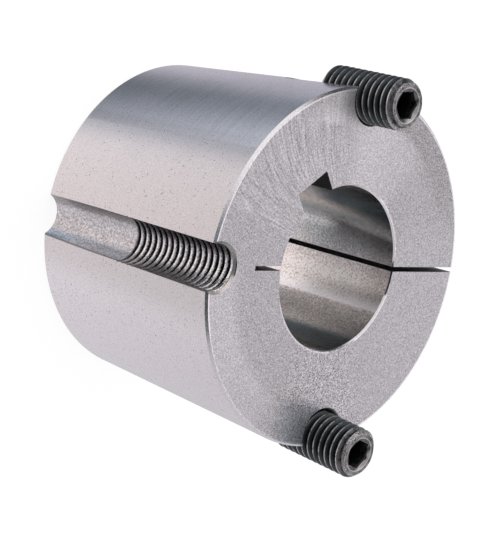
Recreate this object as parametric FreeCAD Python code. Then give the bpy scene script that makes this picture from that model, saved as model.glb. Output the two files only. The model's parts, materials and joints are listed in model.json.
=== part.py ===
"""Taper bush with a keyed bore, one jacking half-hole and two set screws standing in their half-holes.

The bush clamps a pulley or sprocket hub to a shaft. Its outside is a shallow cone that seats in a
matching cone in the hub, and a split lets the cone close on the shaft as the screws draw it in.

All sizes are millimetres. +Z runs along the bore from the small end, at z = 0, to the large end.
+X points from the axis to the split, and angles are counted from +X towards +Y.
"""

import FreeCAD, Part
import math
import os

# Tapered body
large_diameter = 107.95
length = 76.2
taper_angle = 4.0
rim_chamfer = 0.7

# Bore and keyway
bore_diameter = 49.2125
bore_chamfer = 0.4
keyway_width = 12.7
keyway_depth = 5.9
keyway_corner_radius = 0.5
keyway_angle = 124.8

# Saw cuts along the body: the split goes right through one wall, the relief stops inside the other
split_width = 1.5
split_angle = 0.0
relief_width = 1.4
relief_depth = 11.1
relief_angle = 180.0

# Half-holes round the rim of the large end, all with their centres this far inside the rim
hole_inset = 3.175
drill_point_angle = 118.0

# Jacking half-hole, drilled right through at the tapping size of its thread, with lips that flare outward
jacking_angle = 180.0
jacking_tap_diameter = 13.4
jacking_mouth_chamfer = 0.5
jacking_lip_flare = 5.5

# Set screws, and the plain blind half-holes that they stand in
screw_diameter = 15.4
screw_length = 28.575
screw_end_bevel = 1.3
screw_point_bevel = 1.4
socket_across_flats = 7.94
socket_depth = 8.0
socket_countersink = 0.6
socket_countersink_slope = 25.0
screw_clearance = 0.25
screw_seat_gap = 0.05
screw_hole_depth = 29.0
screw_hole_chamfer = 0.4

# How each screw stands: angle round the rim, height above the face, outward lean, and turn of its socket
upper_screw_angle = 86.6
upper_screw_standing = 12.85
upper_screw_lean = 0.0
upper_socket_turn = 38.9
lower_screw_angle = -84.3
lower_screw_standing = 15.3
lower_screw_lean = 4.5
lower_socket_turn = 4.8

# Cutting tools run this far past the faces they break through
overrun = 5.0

# Derived sizes
large_radius = large_diameter / 2
bore_radius = bore_diameter / 2
screw_radius = screw_diameter / 2
screw_hole_radius = screw_radius + screw_clearance
hole_pitch_radius = large_radius - hole_inset
taper_slope = math.tan(math.radians(taper_angle))
hex_corners = 6
full_turn = 360.0

Z_AXIS = FreeCAD.Vector(0, 0, 1)
Y_AXIS = FreeCAD.Vector(0, 1, 0)
ORIGIN = FreeCAD.Vector(0, 0, 0)


def cone_radius(z):
    """Radius of the tapered outside at height z."""
    return large_radius - (length - z) * taper_slope


def revolved(profile):
    """Solid of revolution about Z from a closed list of (radius, height) corners."""
    corners = [FreeCAD.Vector(r, 0, z) for r, z in profile]
    outline = Part.makePolygon(corners + [corners[0]])
    return Part.Face(outline).revolve(ORIGIN, Z_AXIS, full_turn)


def turned(shape, angle):
    """A copy of the shape turned about Z by the angle in degrees."""
    copy = shape.copy()
    copy.rotate(ORIGIN, Z_AXIS, angle)
    return copy


def on_pitch_circle(shape, angle):
    """A copy of a shape made about Z, moved out to the pitch circle of the half-holes."""
    copy = shape.copy()
    copy.translate(FreeCAD.Vector(hole_pitch_radius, 0, 0))
    return turned(copy, angle)


def drill_point(radius):
    """Height of the cone that a drill of this radius leaves."""
    return radius / math.tan(math.radians(drill_point_angle / 2))


def blank():
    """Turned blank: tapered outside, plain bore, and a chamfer at each of the four edges."""
    foot = rim_chamfer
    head = length - rim_chamfer
    return revolved([
        (bore_radius + bore_chamfer, 0),
        (cone_radius(0) - rim_chamfer, 0),
        (cone_radius(foot), foot),
        (cone_radius(head), head),
        (large_radius - rim_chamfer, length),
        (bore_radius + bore_chamfer, length),
        (bore_radius, length - bore_chamfer),
        (bore_radius, bore_chamfer),
    ])


def saw_cut(reach, width, angle):
    """Slab from the axis out to the given reach, through both ends."""
    slab = Part.makeBox(reach, width, length + 2 * overrun, FreeCAD.Vector(0, -width / 2, -overrun))
    return turned(slab, angle)


def keyway():
    """Rectangular keyway through both ends, with small radii along the two corners of its floor."""
    floor = bore_radius + keyway_depth
    low_corner = FreeCAD.Vector(0, -keyway_width / 2, -overrun)
    slab = Part.makeBox(floor, keyway_width, length + 2 * overrun, low_corner)
    floor_corners = [
        edge for edge in slab.Edges
        if all(vertex.Point.x > floor / 2 for vertex in edge.Vertexes)
        and abs(edge.Vertexes[0].Point.z - edge.Vertexes[1].Point.z) > length
    ]
    return turned(slab.makeFillet(keyway_corner_radius, floor_corners), keyway_angle)


def hole_from_large_end(radius, depth, end_depth, mouth_chamfer):
    """Hole down from the large end: mouth chamfer, straight wall, then a cone down to the middle."""
    return revolved([
        (0, length - depth - end_depth),
        (radius, length - depth),
        (radius, length - mouth_chamfer),
        (radius + mouth_chamfer + overrun, length + overrun),
        (0, length + overrun),
    ])


def flared_lips(radius, flare):
    """Prism from the middle of a half-hole outward, wider by the flare angle, where lips would overhang."""
    reach = hole_inset + overrun
    outer = radius + reach * math.tan(math.radians(flare))
    corners = [
        FreeCAD.Vector(0, -radius, -overrun),
        FreeCAD.Vector(reach, -outer, -overrun),
        FreeCAD.Vector(reach, outer, -overrun),
        FreeCAD.Vector(0, radius, -overrun),
    ]
    section = Part.Face(Part.makePolygon(corners + [corners[0]]))
    return section.extrude(FreeCAD.Vector(0, 0, length + 2 * overrun))


def jacking_hole():
    """Half-hole for the removal screw, through both ends, with a bevelled mouth and flared lips."""
    radius = jacking_tap_diameter / 2
    hole = hole_from_large_end(radius, length + overrun, 0, jacking_mouth_chamfer)
    return on_pitch_circle(hole.fuse(flared_lips(radius, jacking_lip_flare)), jacking_angle)


def screw_hole(angle):
    """Plain blind half-hole that a set screw bears in, ending in the drill's cone."""
    end_depth = drill_point(screw_hole_radius)
    hole = hole_from_large_end(screw_hole_radius, screw_hole_depth, end_depth, screw_hole_chamfer)
    return on_pitch_circle(hole, angle)


def bush_body():
    """The bush itself, one piece of metal."""
    split_reach = large_radius + overrun
    relief_reach = bore_radius + relief_depth
    cuts = [
        saw_cut(split_reach, split_width, split_angle),
        saw_cut(relief_reach, relief_width, relief_angle),
        keyway(),
        jacking_hole(),
        screw_hole(upper_screw_angle),
        screw_hole(lower_screw_angle),
    ]
    return blank().cut(cuts).removeSplitter()


def hexagon_prism(across_flats, height, turn):
    """Upright hexagonal prism about Z, with its first corner turned from +X."""
    corner_radius = across_flats / 2 / math.cos(math.pi / hex_corners)
    step = full_turn / hex_corners
    angles = [math.radians(turn + k * step) for k in range(hex_corners + 1)]
    corners = [FreeCAD.Vector(corner_radius * math.cos(a), corner_radius * math.sin(a), 0) for a in angles]
    return Part.Face(Part.makePolygon(corners)).extrude(FreeCAD.Vector(0, 0, height))


def set_screw(socket_turn):
    """Headless socket screw about Z, point at z = 0: envelope of its thread, bevelled at both ends."""
    barrel = revolved([
        (0, 0),
        (screw_radius - screw_point_bevel, 0),
        (screw_radius, screw_point_bevel),
        (screw_radius, screw_length - screw_end_bevel),
        (screw_radius - screw_end_bevel, screw_length),
        (0, screw_length),
    ])
    socket_floor = screw_length - socket_depth
    socket = hexagon_prism(socket_across_flats, socket_depth + overrun, socket_turn)
    socket.translate(FreeCAD.Vector(0, 0, socket_floor))
    drill_radius = socket_across_flats / 2
    pilot = revolved([
        (0, socket_floor - drill_point(drill_radius)),
        (drill_radius, socket_floor),
        (0, socket_floor),
    ])
    mouth_radius = drill_radius / math.cos(math.pi / hex_corners) + socket_countersink
    mouth_depth = mouth_radius * math.tan(math.radians(socket_countersink_slope))
    countersink = revolved([
        (0, screw_length - mouth_depth),
        (mouth_radius, screw_length),
        (mouth_radius, screw_length + overrun),
        (0, screw_length + overrun),
    ])
    return barrel.cut([socket, pilot, countersink])


def standing_screw(angle, standing, lean, socket_turn):
    """A set screw in its half-hole. One that leans rests its point on the hole's inner wall."""
    screw = set_screw(socket_turn)
    depth_in_hole = screw_length - standing
    screw.translate(FreeCAD.Vector(0, 0, -depth_in_hole))
    screw.rotate(ORIGIN, Y_AXIS, lean)
    outward = 0
    if lean:
        lean_reach = (depth_in_hole - screw_point_bevel) * math.sin(math.radians(lean))
        outward = lean_reach - (screw_clearance - screw_seat_gap)
    screw.translate(FreeCAD.Vector(outward, 0, length))
    return on_pitch_circle(screw, angle)


os.makedirs("parts", exist_ok=True)
nodes = {
    "bush_body": bush_body(),
    "upper_set_screw": standing_screw(
        upper_screw_angle, upper_screw_standing, upper_screw_lean, upper_socket_turn),
    "lower_set_screw": standing_screw(
        lower_screw_angle, lower_screw_standing, lower_screw_lean, lower_socket_turn),
}
for name, shape in nodes.items():
    shape.exportStep(f"parts/{name}.step")
    print(name, "valid", shape.isValid(), "solids", len(shape.Solids), "volume", round(shape.Volume, 1))
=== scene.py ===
# %% [markdown]
# # A split taper bush and its two set screws
# A taper bush clamps a pulley to a shaft. It is a thick iron cone with a keyed bore, sawn through
# on one side so that it can close on the shaft, and it has three half-holes round the rim of its
# large end. Two hold set screws and the third is tapped for the screw that drives the bush out.
#
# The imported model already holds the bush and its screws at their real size. This lesson dresses
# them: a machined finish for the iron, real threads for the screws, and a tapped half-hole.

# %% Load the frame
import json
import math

import bmesh
import bpy
from mathutils import Matrix, Vector


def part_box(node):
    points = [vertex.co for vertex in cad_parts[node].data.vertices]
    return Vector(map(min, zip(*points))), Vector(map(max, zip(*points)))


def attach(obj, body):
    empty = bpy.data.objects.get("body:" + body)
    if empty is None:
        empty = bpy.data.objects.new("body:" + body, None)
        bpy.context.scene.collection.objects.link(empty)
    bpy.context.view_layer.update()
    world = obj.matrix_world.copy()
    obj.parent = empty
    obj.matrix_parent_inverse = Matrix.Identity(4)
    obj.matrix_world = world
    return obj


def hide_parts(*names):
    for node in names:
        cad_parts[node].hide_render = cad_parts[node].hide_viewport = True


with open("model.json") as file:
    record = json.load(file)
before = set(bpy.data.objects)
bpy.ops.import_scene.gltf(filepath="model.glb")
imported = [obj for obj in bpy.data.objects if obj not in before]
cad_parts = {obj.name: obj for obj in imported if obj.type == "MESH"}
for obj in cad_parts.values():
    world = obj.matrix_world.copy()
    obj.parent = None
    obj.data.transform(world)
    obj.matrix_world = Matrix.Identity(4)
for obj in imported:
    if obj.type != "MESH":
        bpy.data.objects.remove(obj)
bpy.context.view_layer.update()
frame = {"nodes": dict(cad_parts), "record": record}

# %% [markdown]
# ## Sizes
# A maker reads sizes off a drawing, so they are written down once, before any shape. They could
# stand as numbers inside the formulas, but a name says what a size is, and a change then reaches
# every place that uses it. Blender counts in metres, so a size is millimetres times MM. The length
# and the bore come from the loaded frame.

# %% Sizes of the bush
MM = 0.001
mounts = {mount["name"]: mount for mount in frame["record"]["mounts"]}
bush_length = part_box("bush_body")[1].z
bore_radius = mounts["bore"]["dims"]["r_mm"] * MM
large_radius = 53.975 * MM
taper_angle = math.radians(4)
half_hole_inset = 3.175 * MM
pitch_radius = large_radius - half_hole_inset
keyway_angle = math.radians(124.8)
print("bush", round(bush_length / MM, 2), "mm long, bore", round(2 * bore_radius / MM, 3), "mm")

# %% Sizes of the thread, which is the same on the screws and in the half-hole
inch = 25.4 * MM
turns_in_an_inch = 11
thread_pitch = inch / turns_in_an_inch
flank_angle = math.radians(27.5)
depth_in_pitches = 0.640327
rounding_in_pitches = 0.137329
thread_depth = depth_in_pitches * thread_pitch
tip_radius = rounding_in_pitches * thread_pitch
print("thread depth", round(thread_depth / MM, 3), "mm, pitch", round(thread_pitch / MM, 3), "mm")

# %% Sizes of the set screws
screw_radius = 7.7 * MM
screw_length = 28.575 * MM
end_bevel = 1.3 * MM
point_bevel = 1.4 * MM
socket_flats = 7.94 * MM
socket_depth = 8 * MM
socket_countersink = 0.6 * MM
countersink_slope = math.radians(25)
drill_point_half_angle = math.radians(59)
screw_clearance = 0.25 * MM
screw_seat_gap = 0.05 * MM
crest_play = 0.002 * MM
print("screws", round(2 * screw_radius / MM, 1), "mm across,", round(screw_length / MM, 2), "mm long")

# %% Sizes of the tapped half-hole
jack_angle = math.radians(180)
jack_drill_radius = 6.7 * MM
jack_thread_depth = 41.7 * MM
jack_groove_depth = 1.3 * MM
jack_tap_shift = 1.0 * MM
jack_mouth_radius = 7.6 * MM
jack_mouth_depth = 0.9 * MM
print("tapped for", round(jack_thread_depth / thread_pitch, 1), "turns")

# %% [markdown]
# ## Camera
# The bush stands on its small end, but the picture shows it as if it lay on its side, with the
# large end turned towards us. The bush could be tipped over. It is left standing, as it was
# measured, and the camera is turned instead: it looks at the large end from 42 degrees above
# the plane of that end, rolled so that the axis runs across the picture. It stands far off,
# so that the sides of the cone stay nearly straight.

# %% Camera
image_height = 540
film_height = 36
focal_pixels = 2139.85
farthest_seen = 20
camera_yaw = math.radians(47.28)
camera_pitch = math.radians(8.317)
camera_roll = math.radians(-9.255)
large_end_centre = Vector((0, 0, bush_length))
centre_from_camera = Vector((25.964, 0.313, -626.892)) * MM

to_camera = (Matrix.Rotation(camera_roll, 3, "Z")
             @ Matrix.Rotation(camera_pitch, 3, "X")
             @ Matrix.Rotation(camera_yaw, 3, "Y"))
from_camera = to_camera.transposed()
camera_data = bpy.data.cameras.new("camera")
camera_data.sensor_fit = "VERTICAL"
camera_data.sensor_height = film_height
camera_data.lens = focal_pixels * film_height / image_height
camera_data.clip_end = farthest_seen
camera = bpy.data.objects.new("camera", camera_data)
camera_place = large_end_centre - from_camera @ centre_from_camera
camera.matrix_world = Matrix.Translation(camera_place) @ from_camera.to_4x4()
bpy.context.scene.collection.objects.link(camera)
bpy.context.scene.camera = camera
print("camera at", [round(c / MM, 1) for c in camera_place], "lens", round(camera_data.lens, 1), "mm")

# %% [markdown]
# ## Shader maths as Python
# A machined finish is mostly arithmetic on places: how far a point is from the axis, how near it
# lies to an edge. In the node editor each step of a formula is a box and a wire, and the formula
# is soon hard to see. A small class wraps the output of a node instead, so that a formula is
# written as Python and adds its Math nodes as it is worked out.


# %% Sockets that take part in Python expressions
class Socket:
    """One output of a node, with the arithmetic that the finishes use."""

    def __init__(self, paint, output):
        self.paint = paint
        self.output = output

    def __add__(self, other):
        return self.paint.math("ADD", self, other)

    def __radd__(self, other):
        return self.paint.math("ADD", other, self)

    def __sub__(self, other):
        return self.paint.math("SUBTRACT", self, other)

    def __rsub__(self, other):
        return self.paint.math("SUBTRACT", other, self)

    def __mul__(self, other):
        return self.paint.math("MULTIPLY", self, other)

    def __rmul__(self, other):
        return self.paint.math("MULTIPLY", other, self)

    def __truediv__(self, other):
        return self.paint.math("DIVIDE", self, other)

    def __abs__(self):
        return self.paint.math("ABSOLUTE", self)


# %% A node tree that formulas write into
class Paint:
    """A node tree that is being filled in: a finish's, or the world's."""

    def __init__(self, tree):
        self.tree = tree
        tree.nodes.clear()

    def node(self, kind, settings=None, inputs=None, output=0):
        """Adds a node, gives it its settings, then its inputs, and returns one output."""
        new = self.tree.nodes.new(kind)
        for name, value in (settings or {}).items():
            if name == "stops":
                self.set_stops(new.color_ramp, value)
            else:
                setattr(new, name, value)
        for name, value in (inputs or {}).items():
            self.feed(new.inputs[name], value)
        return Socket(self, new.outputs[output]) if new.outputs else new

    def feed(self, slot, value):
        """Links a socket, or sets a plain value."""
        if isinstance(value, Socket):
            self.tree.links.new(value.output, slot)
        elif isinstance(value, tuple):
            slot.default_value = value[:len(slot.default_value)]
        else:
            slot.default_value = value

    def set_stops(self, ramp, stops):
        """Fills a colour ramp from (position, colour) pairs in rising order."""
        while len(ramp.elements) < len(stops):
            ramp.elements.new(1)
        for element, (position, tint) in zip(ramp.elements, stops):
            element.position = position
            element.color = (*tint, 1)

    def math(self, operation, *values):
        """One Math node on numbers or sockets."""
        return self.node("ShaderNodeMath", {"operation": operation}, dict(enumerate(values)))

    def step(self, value, low, high):
        """Rises smoothly from 0 at low to 1 at high, and falls where low is the larger."""
        if low > high:
            return 1 - self.step(value, high, low)
        return self.node("ShaderNodeMapRange", {"interpolation_type": "SMOOTHSTEP"},
                         {"Value": value, "From Min": low, "From Max": high})

    def between(self, value, start, full, fade, gone):
        """1 from full to fade, and softly down to 0 at start and at gone."""
        return self.step(value, start, full) * self.step(value, gone, fade)

    def mix(self, factor, first, second):
        """A colour between two, by the factor."""
        node = self.tree.nodes.new("ShaderNodeMix")
        node.data_type = "RGBA"
        self.feed(node.inputs[0], factor)
        self.feed(node.inputs[6], first)
        self.feed(node.inputs[7], second)
        return Socket(self, node.outputs[2])

    def shade(self, tint, factor):
        """A colour or a vector times a number."""
        return self.node("ShaderNodeVectorMath", {"operation": "SCALE"}, {0: tint, "Scale": factor})

    def vector(self, x, y, z=0.0):
        """A vector from three numbers or sockets."""
        return self.node("ShaderNodeCombineXYZ", None, {"X": x, "Y": y, "Z": z})

    def parts(self, vector):
        """The three numbers of a vector."""
        return [self.node("ShaderNodeSeparateXYZ", None, {"Vector": vector}, axis) for axis in "XYZ"]

    def noise(self, place, scale=1.0, detail=2.0, roughness=0.5):
        """Soft random values about 0.5."""
        inputs = {"Vector": place, "Scale": scale, "Detail": detail, "Roughness": roughness}
        return self.node("ShaderNodeTexNoise", None, inputs)

    def bearing(self, x, y):
        """Angle round the axis in degrees, from -180 to 180."""
        return self.math("ARCTAN2", y, x) * (180 / math.pi)

    def ring(self, turn, stops):
        """Colours round one full turn, from (degrees, colour) pairs."""
        places = sorted(((degrees % 360 + 180) % 360 / 360, tint) for degrees, tint in stops)
        return self.node("ShaderNodeValToRGB", {"stops": places}, {0: turn / 360 + 0.5}, "Color")

    def bump(self, height):
        """The slope of a small relief, whose height is in millimetres."""
        return self.node("ShaderNodeBump", None, {"Strength": 1.0, "Distance": MM, "Height": height})


# %% A finish's start and its end
def colour(red, green, blue):
    """A plain colour for a socket, with full alpha."""
    return (red, green, blue, 1)


def grey(tone):
    """A colour without any tint."""
    return colour(tone, tone, tone)


def new_finish(name):
    """An empty material and its node tree."""
    material = bpy.data.materials.new(name)
    material.use_nodes = True
    return material, Paint(material.node_tree)


def finish_surface(paint, base, roughness, metallic, normal, **plain):
    """Ends a finish with its surface shader. The plain values are the same all over."""
    inputs = {"Base Color": base, "Roughness": roughness, "Metallic": metallic}
    if normal:
        inputs["Normal"] = normal
    shader = paint.node("ShaderNodeBsdfPrincipled", None, inputs | plain)
    paint.node("ShaderNodeOutputMaterial", None, {"Surface": shader})


# %% [markdown]
# ## Where a point of the bush lies
# One block of iron shows the marks of several tools: a ground cone, faced ends, a reamed bore,
# sawn and drilled cuts, and chamfered edges. A material for each would need the faces sorted by
# hand, and would leave hard joins. One finish is used instead. It works out from the place and
# slope of a point which surface it lies on, as a mask that is 1 there and 0 elsewhere. Distances
# in the masks are millimetres, and turns are degrees counted from the split.

# %% Places on the bush, in millimetres and degrees
bush_finish, iron = new_finish("machined_iron_finish")
place = iron.node("ShaderNodeTexCoord", None, None, "Object")
slope = iron.node("ShaderNodeTexCoord", None, None, "Normal")
millimetres = iron.shade(place, 1 / MM)
x, y, z = (part / MM for part in iron.parts(place))
slope_x, slope_y, slope_z = iron.parts(slope)
axis_distance = iron.math("SQRT", x * x + y * y)
turn = iron.bearing(x, y)
outward = (slope_x * x + slope_y * y) / axis_distance
flatness = abs(slope_z)

top = bush_length / MM
rim = large_radius / MM
bore_wall = bore_radius / MM
below_cone = (rim - (top - z) * math.tan(taper_angle)) - axis_distance
print("places on the bush:", len(iron.tree.nodes), "nodes")

# %% Masks of the turned surfaces
square_on = (0.93, 0.97)
facing_in = (-0.9, -0.95)
sloping = (0.3, 0.5)
skin_of_cone = (0.4, 0.2)
skin_of_bore = (bore_wall + 0.4, bore_wall + 0.2)
wall_middle = (rim + bore_wall) / 2
wall_half = (rim - bore_wall) / 2
edge_width = (wall_half - 1.2, wall_half - 1)
outer_part = (40, 45)
bore_part = (30, 28)

on_face = iron.step(flatness, *square_on)
on_cone = iron.step(outward, *square_on) * iron.step(below_cone, *skin_of_cone)
on_bore = iron.step(outward, *facing_in) * iron.step(axis_distance, *skin_of_bore)
near_edge = iron.step(abs(axis_distance - wall_middle), *edge_width)
on_chamfer = iron.step(flatness, *sloping) * (1 - on_face) * near_edge
on_outer_chamfer = on_chamfer * iron.step(axis_distance, *outer_part)
on_bore_chamfer = on_chamfer * iron.step(axis_distance, *bore_part)
print("masks of the turned surfaces:", len(iron.tree.nodes), "nodes")

# %% Masks of the sawn and broached cuts
cuts_end = (37.5, 36.5)
split_half_width = (0.8, 0.77)
inside_cuts = (1 - on_face) * (1 - on_cone) * (1 - on_bore) * (1 - on_chamfer) \
    * iron.step(axis_distance, *cuts_end)
keyway_half = iron.step(turn, 90, 100)
along_keyway_side = slope_x * math.sin(keyway_angle) - slope_y * math.cos(keyway_angle)
keyway_side = iron.step(along_keyway_side, -0.5, -0.8)
lit_keyway = keyway_half * (1 - keyway_side) * iron.step(turn, 165, 155)
in_split = iron.step(abs(y), *split_half_width) * iron.step(x, 20, 22) * (1 - on_face)
in_shade = inside_cuts * (1 - lit_keyway)
print("masks of the cuts:", len(iron.tree.nodes), "nodes")

# %% [markdown]
# ## Grain of the iron
# Close up, no machined surface is one flat grey. Dense soft noise stands for the crystals and
# tool marks that are too small to model. Photographed metal could be laid over the bush, but
# noise in space needs no unwrapping and runs on unbroken round every edge.

# %% Grains of different size
fine = iron.noise(millimetres, scale=2.2, detail=3.0, roughness=0.6)
broad = iron.noise(millimetres, scale=0.12, detail=2.0, roughness=0.5)
grain = iron.noise(millimetres, scale=2.3, detail=2.0, roughness=0.75)
speckle = iron.noise(millimetres, scale=1.6, detail=3.0, roughness=0.75)
ragged = iron.noise(millimetres, scale=1.7, detail=3.0, roughness=0.7)
print("grain:", len(iron.tree.nodes), "nodes")

# %% [markdown]
# ## Ground cone
# The cone is ground, and the wheel leaves fine rings round it. Here and there it opens a pore of
# the casting. Modelled pits would need millions of faces. So the rings are noise that is
# stretched round the cone and squeezed along it, and the pores are the middles of random cells,
# kept only in some fields, because real pores gather.

# %% Rings and pores
ring_stretch = 0.06
ring_fineness = 2.6
ring_place = iron.vector(x * ring_stretch, y * ring_stretch, z * ring_fineness)
rings = iron.noise(ring_place, scale=1.0, detail=3.0, roughness=0.65)

cells = {"Vector": millimetres, "Scale": 0.8}
from_cell_middle = iron.node("ShaderNodeTexVoronoi", None, cells, "Distance")
pore_fields = iron.noise(millimetres, scale=0.35, detail=0.0, roughness=0.5)
pore_size = (0.17, 0.08)
in_field = (0.48, 0.56)
tiny_pore_share = (0.4, 0.3)
pores = iron.step(from_cell_middle, *pore_size) * iron.step(pore_fields, *in_field)
pinholes = iron.noise(millimetres, scale=2.6, detail=2.0, roughness=0.6)
tiny_pores = iron.step(pinholes, *tiny_pore_share)
print("rings and pores:", len(iron.tree.nodes), "nodes")

# %% [markdown]
# ## Tone of the cone
# Along the upper side runs a bluish field, the mirror image of a dark field of the surroundings,
# with a firm lower border, and beside the half-hole the iron is a little warmer. The surroundings
# mirror most of this. They can't tell the two ends of the cone apart, though, so what changes
# along the axis is painted into the finish: painted reflection in the field and painted shade
# outside it. The field's border is painted a little darker, and the lower half of the cone is
# painted a little lighter than the upper half.

# %% Tone round the cone
along = z / top
reflected_blue_field = iron.between(turn, 104, 116, 140, 143)
painted_border_shade = iron.between(turn, 136, 139, 141.5, 142.5)
below_split_line = iron.step(y, 0, -1)
beside_groove = iron.step(turn, -156, -170)

# Painted reflection and shade: the tone changes along the axis, and the field's border is darker.
painted_fade_along_axis = 0.12 * along * (1 - reflected_blue_field)
painted_rise_along_axis = (0.22 - 0.44 * (1 - along)) * reflected_blue_field
ring_tone = 0.12 * rings + 0.5 * (rings - 0.5) * reflected_blue_field
cone_tone = (1 - 0.1 * painted_border_shade) * (1 - painted_fade_along_axis + painted_rise_along_axis) * (0.68 + ring_tone + 0.52 * grain)

# Painted light: the lower half of the cone is a little lighter than the upper half.
shaded_upper_iron = colour(0.745, 0.725, 0.735)
lit_lower_iron = colour(0.795, 0.775, 0.79)
warm_iron = colour(0.71, 0.68, 0.67)
pore_iron = colour(0.16, 0.14, 0.13)
cone_tint = iron.mix(below_split_line, shaded_upper_iron, lit_lower_iron)
cone_tint = iron.mix(beside_groove, cone_tint, warm_iron)
cone_base = iron.shade(iron.mix(pores + tiny_pores * 0.5, cone_tint, pore_iron), cone_tone)
print("ground cone:", len(iron.tree.nodes), "nodes")

# %% [markdown]
# ## Faced end
# The large end is faced flat, and is matt and grainy. Above the bore it bears curved tool marks.
# They could be carved as grooves, but they are very shallow. So they are noise, drawn out along
# the radius and bowed, so that its lines curve as they run outward.

# %% Curved tool marks above the bore
bow_centre = 37
bow_strength = 0.012
mark_width = 0.95
mark_stretch = 0.1
bow = axis_distance - bow_centre
bowed_turn = (turn + bow * bow * bow_strength) / mark_width
mark_place = iron.vector(bowed_turn, axis_distance * mark_stretch)
marks = iron.noise(mark_place, scale=1.0, detail=1.0, roughness=0.5)
marked = iron.between(turn, 88, 104, 155, 168)
print("tool marks:", len(iron.tree.nodes), "nodes")

# %% [markdown]
# ## Light and shade on the face
# A flat face under soft light should be one even tone, but on the real end the screws throw
# light and shade beside them, and patches of light and shade lie along the rim. Small lamps could
# be set for each. They would also light everything else, so each patch is painted into the face's
# colour by a soft mask.

# %% Painted light and shade on the face
screw_ring = pitch_radius / MM - 0.2
painted_light_toward_split = iron.step(x + 0.3 * y, -20, 35)
painted_shade_patch = iron.between(turn, 5, 35, 62, 80) * (0.1 + 0.16 * iron.step(axis_distance, 42, 47))
painted_light_patch = iron.between(turn, 40, 60, 86, 100) * iron.step(axis_distance, 46.5, 44.5)
painted_light_lower_left = iron.step(turn, -106, -114) * iron.step(axis_distance, *outer_part)
rough_patch = iron.between(turn, -125, -100, -75, -58)
beside_screws = iron.step(abs(abs(y) - screw_ring), 9.5, 6.5) * iron.between(x, -24, -10, -4, 2)
painted_light_beside_screws = beside_screws * (0.8 - 0.2 * iron.step(x, -12, -7) - 0.4 * below_split_line)
# Painted reflection and shadow of the lower screw, beside it on the face.
painted_screw_reflection_and_shadow = below_split_line * iron.step(y, -38, -45) * iron.between(x, -18, -10, 2, 4)
print("patches on the face:", len(iron.tree.nodes), "nodes")

# %% [markdown]
# ## Burrs and their painted highlights
# Where a tool leaves the metal it pushes up a thin lip, which catches the light as a bright line
# along the rim and on parts of the bore's edge. A modelled lip would be about a tenth of a
# millimetre high. The bright line is a painted highlight instead, a brightened ring on the face,
# and it looks the same from any distance that shows the whole bush. Along one stretch of the rim
# it is painted dimmer.

# %% Painted highlights of the burrs along the rim and round the bore
dim_rim_stretch = iron.between(turn, -161, -155, -95, -85)
# Painted highlight of the burrs, dimmer along one stretch of the rim.
rim_burr_highlight = iron.step(axis_distance, rim - 1.3, rim - 1.1) * (0.9 - 0.6 * dim_rim_stretch)
highlighted_bore_stretches = 0.6 * iron.between(turn, -160, -150, -88, -82) \
    + iron.between(turn, -62, -58, -20, -16) \
    + 0.7 * iron.between(turn, 6, 10, 55, 62)
bore_burr_highlight = 0.9 * highlighted_bore_stretches * iron.step(axis_distance, bore_wall + 1.0, bore_wall + 0.75)
print("burrs:", len(iron.tree.nodes), "nodes")

# %% Tone of the face
face_grain = 2.7 * (1 + 0.8 * rough_patch) * (grain - 0.5)
face_marks = (marks - 0.5) * marked * 1.3 + 0.07 * marked
# Painted light towards the split, at the lower left, beside the screws and in an inner patch;
# painted shade in a patch near the rim.
painted_light_and_shade_on_face = 0.07 * painted_light_toward_split + 0.24 * painted_light_lower_left + painted_light_beside_screws + 0.22 * painted_light_patch - painted_shade_patch
# The bluish colour is the painted reflection and shadow of the lower screw.
face_iron = iron.mix(painted_screw_reflection_and_shadow, colour(0.45, 0.443, 0.45), colour(0.355, 0.37, 0.395))
face_base = iron.shade(face_iron, 1.08 + face_grain + face_marks + painted_light_and_shade_on_face + rim_burr_highlight + bore_burr_highlight)
print("faced end:", len(iron.tree.nodes), "nodes")

# %% [markdown]
# ## Reamed bore
# A reamed bore is smooth enough to mirror its other side and the room, so it shows long bands of
# light and dark that run in with the axis. Lamps could be tuned until the bands fall right, but
# each lamp also changes the cone. Here the bands are painted reflections in the finish: a ramp of
# tones round the turn. Dark bands are a little cold, apart from those near the split.

# %% Bands round the bore
band_tones = [
    (-180, 0.9), (-96, 0.9), (-86, 0.11), (-80, 0.11), (-75, 0.08), (-67, 0.12), (-63, 0.15), (-58, 0.38),
    (-50, 0.45), (-44, 0.46), (-36, 0.46), (-33.5, 0.6), (-31.5, 1.0), (-28.5, 1.0), (-25, 0.86),
    (-20, 0.84), (-14, 0.93), (-6, 0.7), (4, 0.53), (10, 0.38), (15, 0.23), (21, 0.16), (26, 0.74),
    (31, 1.0), (35, 0.54), (40, 0.18), (46, 0.14), (54, 0.14), (66, 0.2), (72, 0.9),
]
cold_below_tone = 0.4
warm_turns = (-52, 38)


def band_colour(degrees, tone):
    """Grey of one band: cold where it is dark and far from the split, and else faintly warm."""
    near_split = warm_turns[0] <= degrees <= warm_turns[1]
    cold = -0.1 if near_split else max(0, 1 - tone / cold_below_tone)
    return (tone * (0.98 - 0.36 * cold), tone * 0.96, tone * (0.93 + 0.2 * cold))


# Painted reflections: bands of light and dark round the bore.
slant = 0.3 * (z - top + 12) * iron.step(turn, 0, 12)
bands = iron.ring(turn + slant, [(degrees, band_colour(degrees, tone)) for degrees, tone in band_tones])
print("bands of the bore:", len(band_tones))

# %% [markdown]
# ## Depth and speckle of the bore
# The painted reflections change on their way in: the dark bands fade, a bright stripe runs below
# the split, a bright band lies deep in above it, and speckle lies over all of it. Near the mouth the
# bore is painted darker, as shade. A second ramp could run along the axis and be multiplied in.
# Soft masks by height and turn are used, because each change belongs to one part of the turn only.

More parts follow.
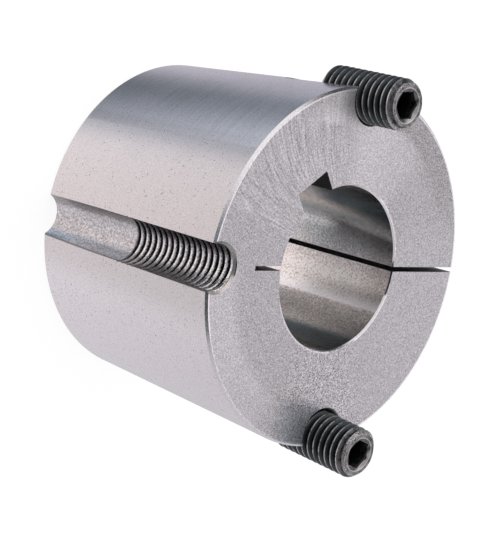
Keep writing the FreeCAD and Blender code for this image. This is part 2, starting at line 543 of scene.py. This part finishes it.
# %% Deeper parts of the bore
faded = iron.step(z, top - 21, top - 32) * iron.step(turn, 0, 8) * (1 - 0.35 * iron.step(turn, 33, 38))
deep_upper = iron.step(z, top - 19, top - 33) * iron.between(turn, 16, 22, 36, 42)
# Painted reflection: a bright stripe below the split.
stripe = iron.between(turn, -34, -32, -30, -27)
far_in = iron.step(z, top - 34, top - 52) * iron.between(turn, -32, -30, 0, 6)
# Painted shade: the bore is darker near its mouth.
near_mouth = iron.step(z, top - 15, top - 2) * iron.step(turn, -30, -12)

bands = iron.mix(faded, bands, colour(0.62, 0.61, 0.59))
bands = iron.mix(0.9 * deep_upper, bands, colour(1.0, 0.975, 0.93))
bands = iron.mix(stripe, bands, colour(1.0, 0.975, 1.0))
bands = iron.mix(0.8 * far_in, bands, colour(0.87, 0.8, 0.81))
speckle_strength = 2.9 * (1 - 0.4 * stripe) * (1 - 0.7 * far_in)
bore_speckle = 1.07 + speckle_strength * (speckle - 0.5)
bore_tone = iron.math("MAXIMUM", bore_speckle, 0.1) * (1 - 0.3 * near_mouth)
bore_base = iron.shade(bands, bore_tone)
print("reamed bore:", len(iron.tree.nodes), "nodes")

# %% [markdown]
# ## Cuts and the jacking half-hole
# Sawn and drilled walls are rough. Where they lie in shade, and in the split, they are painted
# dark. The half-hole at the left is the one that is tapped. Its thread is torn at the crests, its
# grooves are painted dark as shade, and its mouth is chamfered. The grooves are modelled further
# down. The finish only has to know how deep a point lies, which is its distance from the hole's
# own axis. This is less work than painting crests and roots, and it fits every turn of the thread.

# %% Walls of the sawn and broached cuts
cut_iron = colour(0.50, 0.49, 0.485)
# Painted shade: walls in shade and the walls of the split are darkened in their colour.
cut_base = iron.shade(cut_iron, (0.4 + 1.2 * speckle) * (1 - 0.92 * in_shade) * (1 - 0.8 * in_split))
print("cuts:", len(iron.tree.nodes), "nodes")

# %% Places in the jacking half-hole
drill_wall = jack_drill_radius / MM
mouth_floor = top - jack_mouth_depth / MM
first_root = top - jack_thread_depth / MM + 1.6
across = x + pitch_radius / MM
hole_distance = iron.math("SQRT", across * across + y * y)
in_hole = iron.step(hole_distance, 8.6, 8.3) * iron.step(below_cone, 0.9, 1.1) \
    * (1 - on_face) * (1 - on_cone)
crest = iron.step(hole_distance + 1.1 * (ragged - 0.5), drill_wall + 0.5, drill_wall + 0.1)
threaded = iron.step(z, first_root, first_root + 0.6)
in_mouth = iron.step(z, mouth_floor - 0.05, mouth_floor + 0.05)
# Painted shadow of a burr: a dark ragged line on the mouth, on its side towards the bore.
painted_mouth_shadow = iron.step(hole_distance + 0.8 * (ragged - 0.5), 7.3, 7.45) \
    * iron.between(y, -2.6, -1.6, 1.4, 2.2) * iron.step(across, 2, 4)
print("places in the half-hole:", len(iron.tree.nodes), "nodes")

# %% [markdown]
# ## Tone of the jacking half-hole
# The upper wall of the half-hole is dark, the lower wall is bright and cold, and the chamfer of
# its mouth turns from grey to warm. A lamp placed for it would change the cone beside it. Masks
# by height across the hole give the same fall of light and touch nothing else.

# %% Tone of the jacking half-hole
upper_wall = (1 - 0.42 * iron.step(y, 3.0, 4.6)) * (1 - 0.4 * iron.step(y, 5.2, 6.4))
upper_thread = 1 - 0.75 * threaded * iron.step(y, 0.5, 4.2)
cold_lower_wall = iron.step(y, -3.9, -5.6) * (1 - threaded)
hole_iron = iron.mix(cold_lower_wall, colour(0.66, 0.645, 0.655), colour(0.92, 0.98, 1.05))
# Painted shade: the grooves of the thread are nearly black, and only the crests keep their tone.
hole_tone = (3.2 * speckle - 0.6) * (0.03 + 0.97 * crest) * (0.86 + 0.42 * threaded)
hole_base = iron.shade(hole_iron, hole_tone * upper_wall * upper_thread)

mouth_iron = iron.mix(iron.step(y, -1.5, -3), colour(0.36, 0.37, 0.35), colour(0.78, 0.72, 0.67))
mouth_base = iron.shade(mouth_iron, (0.4 + 1.2 * ragged) * (1 - 0.95 * painted_mouth_shadow))
hole_base = iron.mix(in_mouth, hole_base, mouth_base)
print("jacking half-hole:", len(iron.tree.nodes), "nodes")

# %% [markdown]
# ## Edges, and the whole finish
# Every edge of the bush is broken with a small chamfer, and so narrow a band shows as a line,
# bright where it mirrors a light field and dark where it doesn't. It could have a material of its
# own, but one more mask keeps the bush in one finish. On the bore's chamfer, a painted highlight
# and a painted shade are laid in as well. Now the surfaces are laid over each other by their
# masks, like coats over masking tape. The ground parts are smoother than the sawn ones, and a bump
# too fine to model lets the light catch the grain.

# %% Lay the surfaces over each other
# Painted shade on one stretch of the bore's chamfer, and painted highlight on two others.
painted_edge_shade = on_bore_chamfer * iron.between(turn, -20, -18, 0, 3)
painted_edge_highlight = on_bore_chamfer * (iron.between(turn, 3, 7, 30, 36) + iron.between(turn, -60, -56, -20, -16))
chamfer_base = iron.shade(colour(0.8, 0.79, 0.8), 0.7 + 0.6 * fine)
base = iron.mix(on_cone, cut_base, cone_base)
base = iron.mix(in_hole, base, hole_base)
base = iron.mix(on_face, base, face_base)
base = iron.mix(on_bore, base, bore_base)
base = iron.mix(on_chamfer * (1 - in_hole), base, chamfer_base)
base = iron.mix(painted_edge_highlight, base, grey(1))
base = iron.shade(base, 1 - 0.85 * painted_edge_shade)
print("surfaces laid over each other:", len(iron.tree.nodes), "nodes")

# %% Gloss and relief of the iron
metallic = 1 - 0.9 * painted_edge_highlight - 0.4 * in_hole * in_mouth - 0.6 * on_outer_chamfer * dim_rim_stretch
face_gloss = (0.1 - 0.16 * beside_screws) * on_face
roughness = 0.5 + 0.1 * (broad - 0.5) \
    - 0.24 * on_cone - face_gloss - 0.25 * on_bore - 0.3 * on_chamfer - 0.2 * in_hole
rough_cut = (1 - on_cone) * (1 - on_face) * (1 - on_bore)
height = (0.004 * rings - 0.05 * pores) * on_cone \
    + (0.02 * grain + 0.03 * marks * marked) * on_face \
    + 0.02 * speckle * on_bore \
    + 0.05 * speckle * rough_cut
finish_surface(iron, base, roughness, metallic, iron.bump(height))
print("bush finish:", len(iron.tree.nodes), "nodes")

# %% [markdown]
# ## Modelling helpers
# Everything still to be made was turned, drilled or tapped, so it is round. A lathe profile
# could be turned with the Screw modifier. Here it is a line of points beside the axis, and the
# spin operator turns it, so that the same few lines serve a screw, a drill and a countersink.
# Cuts are Boolean modifiers, applied at once, so that each finished piece is one plain mesh.

# %% Meshes from spun lines
AXIS = Vector((0, 0, 1))
CENTRE = (0, 0, 0)
weld = 0.0005 * MM
print("points closer than", weld / MM, "mm are merged")


def add_line(bm, points):
    """A chain of edges through (radius, height) points beside the axis."""
    verts = [bm.verts.new((radius, 0, height)) for radius, height in points]
    return verts + [bm.edges.new(pair) for pair in zip(verts, verts[1:])]


def piece_from(bm, name):
    """Merges doubles, turns the faces outwards and makes the mesh an object."""
    bmesh.ops.remove_doubles(bm, verts=bm.verts, dist=weld)
    bmesh.ops.recalc_face_normals(bm, faces=bm.faces)
    mesh = bpy.data.meshes.new(name)
    bm.to_mesh(mesh)
    bm.free()
    piece = bpy.data.objects.new(name, mesh)
    bpy.context.scene.collection.objects.link(piece)
    return piece


def spun(name, points, steps):
    """A closed round piece from a line whose first and last points lie on the axis."""
    bm = bmesh.new()
    bmesh.ops.spin(bm, geom=add_line(bm, points), cent=CENTRE, axis=AXIS, dvec=(0, 0, 0),
                   angle=2 * math.pi, steps=steps, use_merge=True)
    return piece_from(bm, name)


# %% One Boolean cut
def cut(piece, tool, operation):
    """Applies one Boolean cut to the piece and removes the tool."""
    modifier = piece.modifiers.new("cut", "BOOLEAN")
    modifier.operation = operation
    modifier.solver = "EXACT"
    modifier.object = tool
    bpy.context.view_layer.update()
    made = piece.evaluated_get(bpy.context.evaluated_depsgraph_get())
    old, piece.data = piece.data, bpy.data.meshes.new_from_object(made)
    piece.modifiers.clear()
    bpy.data.meshes.remove(old)
    bpy.data.objects.remove(tool)


# %% Smooth shading and a finish
crease = math.radians(24)
print("edges sharper than", round(math.degrees(crease)), "degrees stay sharp")


def dress(piece, finish):
    """Smooth shading with sharp creases, and the finish."""
    piece.data.shade_smooth()
    piece.data.set_sharp_from_angle(angle=crease)
    piece.data.materials.clear()
    piece.data.materials.append(finish)


# %% [markdown]
# ## Thread form
# The screws have the old inch form: flanks 55 degrees apart, with crest and root rounded to the
# same radius. A thread could be a bump on a smooth bar, but its teeth have to show at the
# outline, so it is modelled. The profile runs over one turn, from the middle of one root to the
# middle of the next.

# %% One turn of the thread's profile
round_steps = 96
arc_steps = 3
CREST = 1
ROOT = -1


def rounded(middle, tip, bulge):
    """Points of a rounded crest or root about the middle height."""
    half_turn = math.pi / 2 - flank_angle
    turns = [half_turn * k / arc_steps for k in range(-arc_steps, arc_steps + 1)]
    return [(tip - bulge * tip_radius * (1 - math.cos(angle)), middle + tip_radius * math.sin(angle))
            for angle in turns]


def outside_thread(crest_radius):
    """One turn of an outside thread, from root to root."""
    root_radius = crest_radius - thread_depth
    low = rounded(0, root_radius, ROOT)[arc_steps:]
    high = rounded(thread_pitch, root_radius, ROOT)[:arc_steps + 1]
    return low + rounded(thread_pitch / 2, crest_radius, CREST) + high


print("profile of one turn:", len(outside_thread(screw_radius)), "points")


# %% [markdown]
# ## Climbing thread
# The profile could be spun through all the turns at once. Here it is spun through one turn while
# it climbs by one pitch, and that turn is doubled, and doubled again, until the bar is long
# enough. Each turn is then exactly like the next, and their rims meet point for point.

# %% A climbing thread and its ends
def only_verts(geometry):
    """The vertices among the parts that an operator made."""
    return [item for item in geometry if isinstance(item, bmesh.types.BMVert)]


def climb(bm, points, doublings, start):
    """Spins a thread line through one climbing turn, then stacks copies: 2, 4, 8 turns and so on."""
    line = add_line(bm, [(radius, height - start) for radius, height in points])
    bmesh.ops.spin(bm, geom=line, cent=CENTRE, axis=AXIS, dvec=AXIS * thread_pitch / round_steps,
                   angle=2 * math.pi, steps=round_steps, use_merge=False)
    for doubling in range(doublings):
        made = bmesh.ops.duplicate(bm, geom=bm.verts[:] + bm.edges[:] + bm.faces[:])["geom"]
        bmesh.ops.translate(bm, verts=only_verts(made), vec=AXIS * thread_pitch * 2 ** doubling)
    bmesh.ops.remove_doubles(bm, verts=bm.verts, dist=weld)


def close_ends(bm, low, high):
    """Draws the two open rims of a climbing thread together on the axis, at these heights."""
    rims = [edge for edge in bm.edges if edge.is_boundary]
    middle = (low + high) / 2
    for height in (low, high):
        open_rim = [edge for edge in rims if (edge.verts[0].co.z > middle) == (height > middle)]
        made = bmesh.ops.extrude_edge_only(bm, edges=open_rim)["geom"]
        bmesh.ops.pointmerge(bm, verts=only_verts(made), merge_co=(0, 0, height))


# %% [markdown]
# ## Set screws
# A headless socket screw is a threaded bar with a bevel at each end and a hexagon in its top.
# The bevels could be modelled turn by turn. It is simpler to do as the lathe does: make the bar
# too long, and cut it with the smooth outline of the screw. That leaves the thread running out
# through the bevels, as it does on a real screw.

# %% Tool for the hexagon socket
hexagon_sides = 6
drill_steps = 48
print("socket", round(socket_flats / MM, 2), "mm across flats")


def socket_tool(socket_turn):
    """Hexagonal prism with the drill's cone below it and a countersink at its mouth."""
    half_side = math.pi / hexagon_sides
    corner_radius = socket_flats / 2 / math.cos(half_side)
    floor_height = screw_length - socket_depth
    bm = bmesh.new()
    bmesh.ops.create_cone(bm, cap_ends=True, segments=hexagon_sides, radius1=corner_radius,
                          radius2=corner_radius, depth=2 * socket_depth)
    bmesh.ops.rotate(bm, verts=bm.verts, cent=CENTRE,
                     matrix=Matrix.Rotation(socket_turn + half_side, 3, "Z"))
    bmesh.ops.translate(bm, verts=bm.verts, vec=(0, 0, floor_height + socket_depth))
    tool = piece_from(bm, "socket_tool")
    drill = spun("drill_tool", [
        (0, floor_height - socket_flats / 2 / math.tan(drill_point_half_angle)),
        (socket_flats / 2, floor_height),
        (0, floor_height + MM),
    ], drill_steps)
    cut(tool, drill, "UNION")
    mouth = corner_radius + socket_countersink
    mouth_slope = math.tan(countersink_slope)
    countersink = spun("countersink_tool", [
        (0, screw_length - mouth * mouth_slope),
        (mouth + MM, screw_length + MM * mouth_slope),
        (0, screw_length + MM),
    ], round_steps)
    cut(tool, countersink, "UNION")
    return tool


# %% Threaded bar cut to a screw
bar_doublings = 4
bar_overhang = 1.5 * thread_pitch
bar_ends = (-3 * thread_pitch, 17 * thread_pitch)
outline_room = MM
print("bar", 2 ** bar_doublings, "turns long")


def threaded_screw(name, socket_turn, rise):
    """A set screw about the axis, with its point at height 0 and its thread shifted up by the rise."""
    bm = bmesh.new()
    climb(bm, outside_thread(screw_radius - crest_play), bar_doublings, bar_overhang - rise)
    close_ends(bm, *bar_ends)
    screw = piece_from(bm, name)
    outline = spun("outline", [
        (0, 0),
        (screw_radius - point_bevel, 0),
        (screw_radius + outline_room, point_bevel + outline_room),
        (screw_radius + outline_room, screw_length - end_bevel - outline_room),
        (screw_radius - end_bevel, screw_length),
        (0, screw_length),
    ], round_steps)
    cut(screw, outline, "INTERSECT")
    cut(screw, socket_tool(socket_turn), "DIFFERENCE")
    return screw


# %% [markdown]
# ## Black oxide
# The screws are black from a hot oxide bath. It wears through first along the thread's crests,
# on the last turn and on the bevel of the socket end. A picture of wear could be unwrapped onto
# each screw, but wear follows height above the root, so distance from the screw's axis gives
# it at once. One screw leans, so each mesh carries the place that each point had before the
# screw was stood in its hole.

# %% Places on a screw
screw_finish, black = new_finish("black_oxide_finish")
own_place = black.node("ShaderNodeAttribute", {"attribute_name": "own_place"}, None, "Vector")
own_millimetres = black.shade(own_place, 1 / MM)
own_x, own_y, own_z = (part / MM for part in black.parts(own_place))
from_own_axis = black.math("SQRT", own_x * own_x + own_y * own_y)
screw_top = screw_length / MM
crest_height = screw_radius / MM
root_height = (screw_radius - thread_depth) / MM
socket_corner = 5.15
print("places on a screw:", len(black.tree.nodes), "nodes")

# %% [markdown]
# ## Wear, and painted light in the socket
# Bare steel shows on the crests, in patches on the last turn, and on the bevel and the edge of
# the socket. Each could be painted by hand on the mesh. Masks by place do all turns of both
# screws at once, and the noise in them keeps the wear ragged. One side of the socket's mouth is
# painted light as well, and it is mixed in with the wear.

# %% Worn places of a screw, and the painted light in its socket
fine_wear = black.noise(own_millimetres, scale=3.0, detail=3.0, roughness=0.7)
broad_wear = black.noise(own_millimetres, scale=0.5, detail=2.0, roughness=0.5)
patches = black.step(fine_wear + broad_wear, 0.85, 1.1)
on_crest = black.step(from_own_axis, crest_height - 0.16, crest_height - 0.02)
last_turn = black.step(own_z, screw_top - 3.6, screw_top - 2.6)
bevel_line = screw_top + crest_height - end_bevel / MM
on_bevel = black.step(own_z + from_own_axis, bevel_line - 0.15, bevel_line) \
    * black.step(from_own_axis, 5.0, 5.4)
end_ring = black.step(own_z, screw_top - 0.05, screw_top - 0.02) \
    * black.step(from_own_axis, socket_corner - 0.05, socket_corner + 0.05)
mouth_line = black.step(abs(from_own_axis - socket_corner), 0.2, 0.12) \
    * black.step(own_z, screw_top - 0.2, screw_top - 0.1)
in_socket = black.step(from_own_axis, 5.2, 5.12) * black.step(own_z, screw_top - 9, screw_top - 8)
# Painted light: one side of the socket's mouth is lighter.
painted_light_in_socket = black.step(own_x * 0.8 - own_y * 0.6, 2.6, 4.2) \
    * black.step(own_z, screw_top - 1.6, screw_top - 0.9)
print("worn places:", len(black.tree.nodes), "nodes")

# %% Black oxide and bare steel
crest_wear = on_crest * (0.7 + 0.3 * last_turn) * (0.2 + 0.8 * patches)
turn_wear = (1 - on_crest) * last_turn * 0.2 * patches
bevel_wear = on_bevel * black.step(fine_wear, 0.4, 0.6) * 0.8
ring_wear = end_ring * (0.75 * fine_wear - 0.25) * (0.4 + patches)
# Wear and the painted light in the socket are mixed towards bare steel together.
all_wear_and_socket_light = crest_wear + turn_wear + bevel_wear + ring_wear + mouth_line * 0.5 + painted_light_in_socket * in_socket * 0.55
wear_and_socket_light = black.math("MINIMUM", all_wear_and_socket_light, 1)

# Painted shade: the oxide is darker towards the roots of the thread.
off_root = black.step(from_own_axis, root_height, crest_height - 0.2)
oxide_tone_and_root_shade = (0.25 + 0.75 * off_root) * (1 - in_socket) + 0.6 * in_socket + end_ring * 0.6
oxide = black.shade(colour(0.055, 0.066, 0.072), oxide_tone_and_root_shade)
bare_steel = colour(0.68, 0.65, 0.63)
screw_base = black.mix(wear_and_socket_light, oxide, bare_steel)
screw_roughness = 0.38 + 0.2 * (fine_wear - 0.5)
screw_metallic = 0.85
screw_relief = 0.02 * fine_wear
finish_surface(black, screw_base, screw_roughness, screw_metallic, black.bump(screw_relief))
print("screw finish:", len(black.tree.nodes), "nodes")

# %% [markdown]
# ## The screws in their half-holes
# In the picture both screws stand loose in plain half-holes, one upright and one leaning. A
# screw could be placed as an object that is moved and turned. Its mesh is moved instead, so that
# the object itself stays at the origin.


# %% Stand the two screws in their half-holes
def stand_screw(name, node, socket_turn, rise, angle, standing, lean):
    """Makes a screw and stands it in its half-hole in place of the plain solid."""
    screw = threaded_screw(name, socket_turn, rise)
    own_places = screw.data.attributes.new("own_place", "FLOAT_VECTOR", "POINT")
    turn_in_hole = Matrix.Rotation(angle, 3, "Z")
    for vertex, item in zip(screw.data.vertices, own_places.data):
        item.vector = turn_in_hole @ vertex.co
    dress(screw, screw_finish)
    depth = screw_length - standing
    moved_out = 0
    if lean:
        moved_out = (depth - point_bevel) * math.sin(lean) - (screw_clearance - screw_seat_gap)
    screw.data.transform(
        Matrix.Rotation(angle, 4, "Z")
        @ Matrix.Translation((pitch_radius + moved_out, 0, bush_length))
        @ Matrix.Rotation(lean, 4, "Y")
        @ Matrix.Translation((0, 0, -depth)))
    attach(screw, "root")
    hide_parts(node)


stand_screw("upper_threaded_screw", "upper_set_screw", socket_turn=math.radians(38.9), rise=0.98 * MM,
            angle=math.radians(86.6), standing=12.85 * MM, lean=0)
stand_screw("lower_threaded_screw", "lower_set_screw", socket_turn=math.radians(4.8), rise=-0.95 * MM,
            angle=math.radians(-84.3), standing=15.3 * MM, lean=math.radians(4.5))

# %% [markdown]
# ## Thread of the jacking half-hole
# The half-hole for the removal screw is tapped for the upper part of its length. Only half of the
# tap is ever in the metal, so it bites deepest in the middle of the wall and fades out at both
# lips. Curved ridges could be laid on the wall. A tap gives the fading for nothing: it is a
# threaded bar, set a little towards the bush's axis, and a Boolean cuts it out of a copy of the
# solid. A countersink then opens the mouth.

# %% Tap and countersink of the half-hole
tap_doublings = 5
tap_end_in_mouth = 0.8
print("tap", 2 ** tap_doublings, "turns long")


def jack_tap():
    """Threaded bar that stands in the jacking half-hole and ends inside its mouth."""
    low = bush_length - jack_thread_depth
    high = bush_length - tap_end_in_mouth * jack_mouth_depth
    bm = bmesh.new()
    climb(bm, outside_thread(jack_drill_radius + jack_groove_depth - jack_tap_shift), tap_doublings, 0)
    bmesh.ops.translate(bm, verts=bm.verts, vec=(0, 0, low))
    bmesh.ops.bisect_plane(bm, geom=bm.verts[:] + bm.edges[:] + bm.faces[:],
                           dist=weld, plane_co=(0, 0, high), plane_no=AXIS, clear_outer=True)
    close_ends(bm, low - 2 * thread_pitch, high)
    tap = piece_from(bm, "tap")
    tap.data.transform(Matrix.Rotation(jack_angle, 4, "Z")
                       @ Matrix.Translation((pitch_radius - jack_tap_shift, 0, 0)))
    return tap


def mouth_tool():
    """Countersink that chamfers the mouth of the jacking half-hole."""
    mouth = spun("mouth_tool", [
        (0, bush_length - jack_mouth_depth),
        (jack_drill_radius, bush_length - jack_mouth_depth),
        (2 * jack_mouth_radius - jack_drill_radius, bush_length + jack_mouth_depth),
        (0, bush_length + jack_mouth_depth),
    ], round_steps)
    mouth.data.transform(Matrix.Translation((-pitch_radius, 0, 0)))
    return mouth


# %% [markdown]
# ## Bush with its tapped half-hole
# The bush could be modelled again from its drawing. Its solid is already true to size, so a copy
# of it is cut instead. The copy is merged first, because the loaded mesh is loose triangles, and
# its stored normals are dropped, because the cuts make new edges.

# %% Bush with its tapped half-hole
solid = frame["nodes"]["bush_body"]
copied = bmesh.new()
copied.from_mesh(solid.data)
copied.transform(solid.matrix_world)
bush = piece_from(copied, "tapped_bush_body")
bush.data.attributes.remove(bush.data.attributes["custom_normal"])
cut(bush, jack_tap(), "DIFFERENCE")
cut(bush, mouth_tool(), "DIFFERENCE")
dress(bush, bush_finish)
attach(bush, "root")
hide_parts("bush_body")
print("tapped bush", len(bush.data.polygons), "faces")

# %% [markdown]
# ## Floor
# The bush stands on a pale studio floor that runs into a white background. More light would whiten
# it, and would bleach the iron too. So the floor itself is pale: where the camera sees it, it
# glows almost white and keeps only a faint shadow, and where it lights the bush it is plain
# matt. Metal doesn't mirror it, because the tones of the iron come from the surroundings below.

# %% Floor
floor_size = 6.0
floor_matte = 0.9
seen_matte = 0.3
seen_glow = 0.85
floor_roughness = 1.0
floor_metallic = 0.0

floor_mesh = bmesh.new()
bmesh.ops.create_grid(floor_mesh, x_segments=1, y_segments=1, size=floor_size / 2)
floor = piece_from(floor_mesh, "floor")
floor_finish, pale = new_finish("floor_finish")
camera_ray, glossy_ray, transmission_ray = (
    pale.node("ShaderNodeLightPath", None, None, f"Is {kind} Ray")
    for kind in ("Camera", "Glossy", "Transmission"))
seen = pale.math("MINIMUM", camera_ray + glossy_ray + transmission_ray, 1)
matte = pale.mix(seen, grey(floor_matte), grey(seen_matte))
glow = pale.mix(seen, grey(0), grey(seen_glow))
finish_surface(pale, matte, floor_roughness, floor_metallic, None,
               **{"Emission Color": glow, "Emission Strength": 1.0, "Specular IOR Level": 0.0})
floor.data.materials.append(floor_finish)
floor.visible_glossy = False
print("floor", floor_size, "m wide")

# %% [markdown]
# ## Surroundings
# Bright metal shows what stands round it more than its own colour: the dark band along the cone
# is a dark field of the studio. Area lamps and cards could be hung round the bush and moved one
# by one. The studio is written down instead as rings of colour round the horizon, one low, one
# level and one high, with a grey zenith. A ring is read off in degrees, so that a band on the cone
# is easy to trace to the field that makes it.

# %% Low ring
world = bpy.data.worlds.new("studio")
bpy.context.scene.world = world
world.use_nodes = True
studio = Paint(world.node_tree)
direction = studio.node("ShaderNodeTexCoord", None, None, "Generated")
east, north, up = studio.parts(direction)
heading = studio.bearing(east, north)

low_ring = studio.ring(heading, [
    (20, (0.62, 0.60, 0.68)),
    (35, (0.57, 0.56, 0.65)),
    (60, (0.16, 0.19, 0.22)),
    (72, (0.20, 0.23, 0.27)),
    (98, (0.51, 0.55, 0.63)),
    (111, (0.515, 0.53, 0.605)),
    (118, (1.0, 0.95, 0.97)),
    (179.9, (0.95, 0.86, 0.85)),
    (240, (0.87, 0.83, 0.87)),
    (300, (0.76, 0.73, 0.77)),
    (335, (0.66, 0.65, 0.68)),
])
print("low ring:", len(studio.tree.nodes), "nodes")

# %% Level ring
level_ring = studio.ring(heading, [
    (20, (0.75, 0.73, 0.77)),
    (36, (0.06, 0.06, 0.065)),
    (66, (0.05, 0.055, 0.06)),
    (74, (0.5, 0.49, 0.51)),
    (84, (1.05, 1.02, 1.04)),
    (130, (1.0, 0.97, 0.98)),
    (180, (0.6, 0.58, 0.6)),
    (290, (0.75, 0.72, 0.76)),
    (350, (0.98, 0.93, 0.98)),
])
print("level ring:", len(studio.tree.nodes), "nodes")

# %% High ring and zenith
high_ring = studio.ring(heading, [
    (20, (1.0, 0.97, 1.0)),
    (55, (1.25, 1.25, 1.3)),
    (85, (1.05, 1.02, 1.04)),
    (130, (1.0, 0.97, 0.98)),
    (148, (0.66, 0.64, 0.66)),
    (162, (0.16, 0.18, 0.22)),
    (190, (0.05, 0.06, 0.07)),
    (222, (0.03, 0.035, 0.04)),
    (236, (0.20, 0.20, 0.21)),
    (250, (0.66, 0.62, 0.65)),
    (290, (0.75, 0.72, 0.76)),
    (350, (0.98, 0.93, 0.98)),
])
zenith = colour(0.45, 0.45, 0.47)
level_starts = (-0.15, 0.1)
high_starts = (0.38, 0.55)
zenith_starts = (0.82, 0.96)
sky = studio.mix(studio.step(up, *level_starts), low_ring, level_ring)
sky = studio.mix(studio.step(up, *high_starts), sky, high_ring)
sky = studio.mix(studio.step(up, *zenith_starts), sky, zenith)
background = studio.node("ShaderNodeBackground", None, {"Color": sky, "Strength": 1.0})
studio.node("ShaderNodeOutputWorld", None, {"Surface": background})
print("surroundings:", len(studio.tree.nodes), "nodes")

# %% [markdown]
# ## Finish the scene
# Blender's usual view bends bright tones to look like film, and a picture for a catalogue wants
# colours as they were written, so the view is set to Standard.

# %% Finish the scene
bpy.context.scene.view_settings.view_transform = "Standard"
